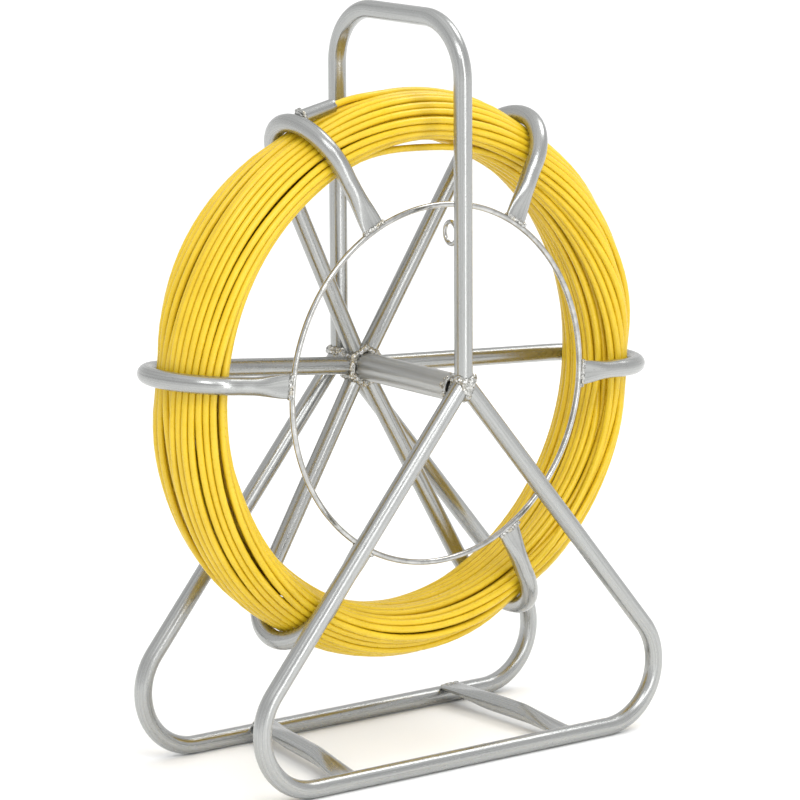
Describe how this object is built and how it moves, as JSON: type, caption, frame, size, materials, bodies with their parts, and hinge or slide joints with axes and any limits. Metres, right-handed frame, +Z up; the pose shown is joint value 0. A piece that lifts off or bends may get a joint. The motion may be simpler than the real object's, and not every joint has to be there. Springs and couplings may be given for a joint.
{
  "type": "fish tape reel",
  "caption": "Open steel-tube reel of yellow glass-fibre rodding, turning on an axle in a free-standing A-frame stand with a carry handle.",
  "frame": {"origin": "on the floor, midway between the two side frames, under the reel's axis", "axes": "+Z up; Y along the reel's axle, with the wire ring and the rod guide eye on the -Y side; X across the stand"},
  "size_m": [0.5174, 0.1982, 0.648],
  "materials": {
    "frame_silver_paint": "satin silver paint",
    "reel_silver_paint": "satin silver paint",
    "bright_wire": "bright drawn wire under a thin coat",
    "weld_bead": "bright painted weld",
    "yellow_sheath": "semi-gloss extruded sheath"
  },
  "bodies": {
    "stand": {"front_side_frame": "frame_silver_paint", "rear_side_frame": "frame_silver_paint", "carry_handle": "frame_silver_paint", "left_crossbar": "frame_silver_paint", "right_crossbar": "frame_silver_paint", "axle": "frame_silver_paint", "guide_eye": "bright_wire", "front_apex_weld": "weld_bead", "rear_apex_weld": "weld_bead", "front_axle_weld": "weld_bead", "rear_axle_weld": "weld_bead", "left_crossbar_front_weld": "weld_bead", "left_crossbar_rear_weld": "weld_bead", "right_crossbar_front_weld": "weld_bead", "right_crossbar_rear_weld": "weld_bead", "eye_weld": "weld_bead"},
    "reel": {"hub_tube": "reel_silver_paint", "arm_right": "reel_silver_paint", "arm_upper_right": "reel_silver_paint", "arm_upper_left": "reel_silver_paint", "arm_left": "reel_silver_paint", "arm_lower_left": "reel_silver_paint", "arm_lower_right": "reel_silver_paint", "front_ring": "bright_wire", "rod_end_socket": "reel_silver_paint", "front_hub_weld": "weld_bead", "rear_hub_weld": "weld_bead", "ring_weld_right": "weld_bead", "ring_weld_upper_right": "weld_bead", "ring_weld_upper_left": "weld_bead", "ring_weld_left": "weld_bead", "ring_weld_lower_left": "weld_bead", "ring_weld_lower_right": "weld_bead", "socket_weld": "weld_bead", "rod_coil": "yellow_sheath", "rod_tail": "yellow_sheath"}
  },
  "joints": [
    {"name": "reel_spin", "type": "hinge", "parent": "stand", "child": "reel", "pos_m": [0, 0, 0.3286], "axis": [0, 1, 0], "continuous": true}
  ]
}
